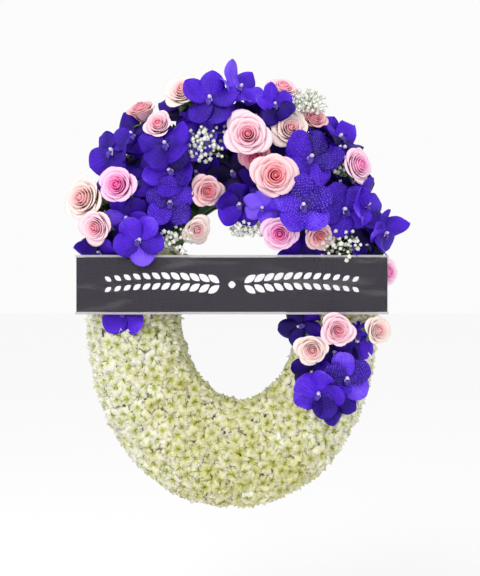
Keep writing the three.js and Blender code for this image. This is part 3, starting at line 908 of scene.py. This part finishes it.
template = mumTemplate()
taken = []
for name, (first, last) in mumBed["stretches"].items():
    bm = bmesh.new()
    radialLayer = bm.verts.layers.float.new("radial")
    toneLayer = bm.verts.layers.float.new("headTone")
    heads = scatterHeads(first, last, taken)
    done = 0
    for centre, normal in heads:
        bm.from_mesh(template)
        bm.verts.ensure_lookup_table()
        fresh = bm.verts[done:]
        done = len(bm.verts)
        size = rng.uniform(*mumBed["radius"])
        tilt = Vector([rng.uniform(-mumBed["tilt"], mumBed["tilt"]) for _ in range(3)])
        facing = (normal + tilt).normalized()
        matrix = Matrix.Translation(centre) @ facing.to_track_quat("Z", "Y").to_matrix().to_4x4()
        matrix = matrix @ Matrix.Rotation(rng.uniform(0, 6.28), 4, "Z") @ Matrix.Scale(size, 4)
        edge = min(1, abs(centre.x - 0.01) / 0.24)  # 0 in the ring's middle, 1 at its sides
        # Creaminess varies at random; the whitening toward the ring's sides is painted light.
        tone = min(1, max(0, rng.gauss(*mumBed["tone"]) - mumBed["paintedSideLight"] * edge**2.4))
        for vert in fresh:
            ruffle = Vector([rng.uniform(-mumBed["ruffle"], mumBed["ruffle"]) for _ in range(3)])
            vert.co = matrix @ (vert.co * (1 + rng.uniform(-0.12, 0.1)) + ruffle)
            vert[toneLayer] = tone
    addBedBase(bm, first, last, toneLayer)
    print(name, len(heads), "heads")
    finishPiece(name + "_heads", bm, ["chrysanthemum", "bedBase"], (name,))
print("chrysanthemums made")

sprayShape = {
    "floret": (0.0023, 0.0050),
    "gap": 0.0072,
    "forks": 7,
    "stalk": (0.0011, 0.0008),
    "twig": (0.0007, 0.0005),
    "stem": 0.00035,
}
# name, x, height in the ring, distance out, half sizes of the cloud, florets
sprayList = [
    ("babys_breath_01", -0.040, 0.276, 0.118, (0.034, 0.022, 0.030), 60),
    ("babys_breath_02", 0.122, 0.345, 0.088, (0.034, 0.026, 0.024), 90),
    ("babys_breath_03", 0.176, 0.244, 0.096, (0.018, 0.018, 0.030), 30),
    ("babys_breath_04", -0.096, 0.118, 0.096, (0.030, 0.022, 0.028), 42),
    ("babys_breath_05", 0.026, 0.142, 0.084, (0.036, 0.018, 0.018), 60),
    ("babys_breath_06", 0.176, 0.112, 0.108, (0.036, 0.020, 0.028), 55),
]


def addFloret(bm, centre, facing, size):
    # A tiny double flower: a flattened ball whose spokes are drawn out and in.
    made = bmesh.ops.create_uvsphere(bm, u_segments=10, v_segments=4, radius=1)
    turn = facing.to_track_quat("Z", "Y").to_matrix().to_4x4()
    matrix = Matrix.Translation(centre) @ turn @ Matrix.Scale(size, 4)
    for vert in made["verts"]:
        spoke = round(math.atan2(vert.co.y, vert.co.x) / (math.pi / 5)) % 2
        wide = (1.12 if spoke else 0.72) if abs(vert.co.z) < 0.5 else (0.7 if spoke else 1.0)
        vert.co = matrix @ Vector((vert.co.x * wide, vert.co.y * wide, vert.co.z * 0.75))


for name, x, z, out, half, count in sprayList:
    bm = newMesh()
    middle = Vector((x, -out, z - ring["eyeHeight"]))
    foot = footInFoam(x, z)
    fork = middle.lerp(foot, 0.35)
    addRod(bm, foot, fork, sprayShape["stalk"][0], 6, 1, sprayShape["stalk"][1])
    spots = []
    for _ in range(count * 30):
        if len(spots) >= count:
            break
        way = Vector((rng.gauss(0, 1), rng.gauss(-0.5, 1), rng.gauss(0, 1))).normalized()
        reach = rng.uniform(0.08, 1.2) ** 0.5
        spot = middle + Vector((way.x * half[0], way.y * half[1], way.z * half[2])) * reach
        if all((spot - other).length > sprayShape["gap"] for other in spots):
            spots.append(spot)
    joints = []
    for _ in range(sprayShape["forks"]):
        joint = fork.lerp(middle, rng.uniform(0.3, 0.9))
        joint += Vector([rng.uniform(-0.5, 0.5) * h for h in half])
        joints.append(joint)
        addRod(bm, fork, joint, sprayShape["twig"][0], 5, 1, sprayShape["twig"][1])
    for spot in spots:
        joint = min(joints, key=lambda j: (j - spot).length)
        addRod(bm, joint, spot, sprayShape["stem"], 4, 1)
        facing = (spot - joint).normalized() + Vector((0, -0.6, 0))
        addFloret(bm, spot, facing, rng.uniform(*sprayShape["floret"]))
    finishPiece(name + "_spray", bm, ["floret", "sprig"], (name,))
print("baby's breath made")

leafBed = {  # leaves over the foam of the upper arc
    "front": 120,
    "side": 130,
    "length": (0.038, 0.056),
    "width": 0.34,
    "span": (4, 172),
    "frontAcross": (34, 84),
    "frontRoot": 0.052,
    "sideAcross": (83, 84),
    "sideRoot": (0.020, 0.050),
}


def leafShape(length, seed):
    shaper = random.Random(seed)
    droop = shaper.uniform(0.1, 0.4)

    def shape(across, along):
        half = 0.5 * leafBed["width"] * length * math.sin(math.pi * min(1, 0.04 + 0.96 * along**0.8)) ** 0.8
        height = length * (0.05 * abs(across) - droop * along**2 * 0.5)
        return Vector((half * across, length * along, height))

    return shape


# Dark leaves fill the gaps behind the blooms, where they also stand in for shade.
bm = newMesh()
for index in range(leafBed["front"] + leafBed["side"]):
    degrees = rng.uniform(*leafBed["span"])
    onSide = index >= leafBed["front"]
    across = rng.uniform(*leafBed["sideAcross" if onSide else "frontAcross"])
    base = ringPoint(degrees, across, rng.uniform(*leafBed["sideRoot"]) if onSide else leafBed["frontRoot"])
    inner, outer = edgesAt(degrees)
    away = (outer - inner).normalized() * (0.75 if onSide else (across - 50) / 32)
    heading = Vector((away.x, -0.75, away.y)) + Vector([rng.uniform(-0.5, 0.5) for _ in range(3)])
    heading.normalize()
    side = heading.cross(Vector((rng.uniform(-0.4, 0.4), -1, rng.uniform(-0.4, 0.4)))).normalized()
    up = side.cross(heading)
    matrix = Matrix.Translation(base) @ Matrix((side, heading, up)).transposed().to_4x4()
    addPetal(bm, leafShape(rng.uniform(*leafBed["length"]), index), matrix, (4, 7), 0.0006, {})
finishPiece("filler_leaves", bm, ["leaf"])
print("leaves made")

# The card's ornament: two plain sprigs of leaves that mirror each other.
ornament = {
    "z": -0.283,
    "front": -0.11525,
    "start": 0.020,
    "halfLength": 0.188,
    "leaf": (0.0205, 0.0052),
    "spread": 0.0085,
    "angle": 0.62,
    "pairs": 12,
    "dot": (0.012, 0.006),
}


def addPrintedLeaf(bm, centre, angle, length, width):
    made = bmesh.ops.create_circle(bm, cap_ends=True, segments=14, radius=1)
    place = Matrix.Translation(centre) @ Matrix.Rotation(angle, 4, "Y") @ Matrix.Rotation(math.pi / 2, 4, "X")
    for vert in made["verts"]:
        pinch = 1 - 0.55 * abs(vert.co.x) ** 2
        vert.co = place @ Vector((vert.co.x * length / 2, vert.co.y * width * pinch, 0))


bm = newMesh()
for mirror in (-1, 1):
    for index in range(ornament["pairs"]):
        share = (index + 0.6) / ornament["pairs"]
        x = mirror * (ornament["start"] + ornament["halfLength"] * share)
        rise = 0.006 * math.sin(share * math.pi)
        length = ornament["leaf"][0] * (1.1 - 0.5 * share)
        width = ornament["leaf"][1] * (1.1 - 0.4 * share)
        for side in (-1, 1):
            centre = Vector((x, ornament["front"], ornament["z"] + rise + side * ornament["spread"]))
            addPrintedLeaf(bm, centre, -mirror * side * ornament["angle"], length, width)
addPrintedLeaf(bm, Vector((0, ornament["front"], ornament["z"])), 0, *ornament["dot"])
bmesh.ops.recalc_face_normals(bm, faces=bm.faces[:])
for face in bm.faces:
    if face.normal.y > 0:
        face.normal_flip()
bmesh.ops.solidify(bm, geom=bm.faces[:], thickness=0.00005)
finishPiece("card_ornament", bm, ["ornament"], smooth=False)
print("ornament made")

# Pieces whose solids are shown as they are, each in its own finish.
plainNodes = {
    "foam_ring": "foam",
    "backing_tray": "tray",
    "hanger_strap": "steel",
    "banner_card": "card",
    "banner_sleeve": "film",
    "banner_pick_left": "pick",
    "banner_pick_right": "pick",
}
for node, finish in plainNodes.items():
    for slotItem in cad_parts[node].material_slots:
        slotItem.material = finishes[finish]

studio = {
    "floor": -1.02,
    "world": 0.97,
    "key": 26.0,
    "keyAt": (-0.9, -2.2, 1.4),
    "keyAim": (0, 0, -0.3),
    "keySize": 1.2,
    "lens": 70.0,
    "sensor": 36,
    "distance": 1.94,
    "aim": (0.0132, 0.0396),  # across, and up from the ring's centre
}

bm = bmesh.new()
ground = Matrix.Translation((0, 0, studio["floor"]))
bmesh.ops.create_grid(bm, x_segments=1, y_segments=1, size=30, matrix=ground)
mesh = bpy.data.meshes.new("floor")
bm.to_mesh(mesh)
bm.free()
floor = bpy.data.objects.new("floor", mesh)
floorFinish = Finish("pale_floor")
mesh.materials.append(floorFinish.surface({"Base Color": (0.97, 0.97, 0.97, 1), "Roughness": 0.9}))
bpy.context.scene.collection.objects.link(floor)

world = bpy.data.worlds.new("studio")
world.use_nodes = True
world.node_tree.nodes["Background"].inputs["Color"].default_value = (1, 1, 1, 1)
world.node_tree.nodes["Background"].inputs["Strength"].default_value = studio["world"]
bpy.context.scene.world = world


def addLight(name, location, target, size, power):
    data = bpy.data.lights.new(name, "AREA")
    data.size = size
    data.energy = power
    light = bpy.data.objects.new(name, data)
    light.location = location
    light.rotation_euler = (Vector(target) - Vector(location)).to_track_quat("-Z", "Y").to_euler()
    bpy.context.scene.collection.objects.link(light)


addLight("key", studio["keyAt"], studio["keyAim"], studio["keySize"], studio["key"])

cameraData = bpy.data.cameras.new("camera")
cameraData.lens = studio["lens"]
cameraData.sensor_width = studio["sensor"]
camera = bpy.data.objects.new("camera", cameraData)
camera.location = (studio["aim"][0], -studio["distance"], studio["aim"][1] - ring["eyeHeight"])
camera.rotation_euler = (math.radians(90), 0, 0)
bpy.context.scene.collection.objects.link(camera)
bpy.context.scene.camera = camera
bpy.context.scene.view_settings.view_transform = "Standard"
print("studio made")
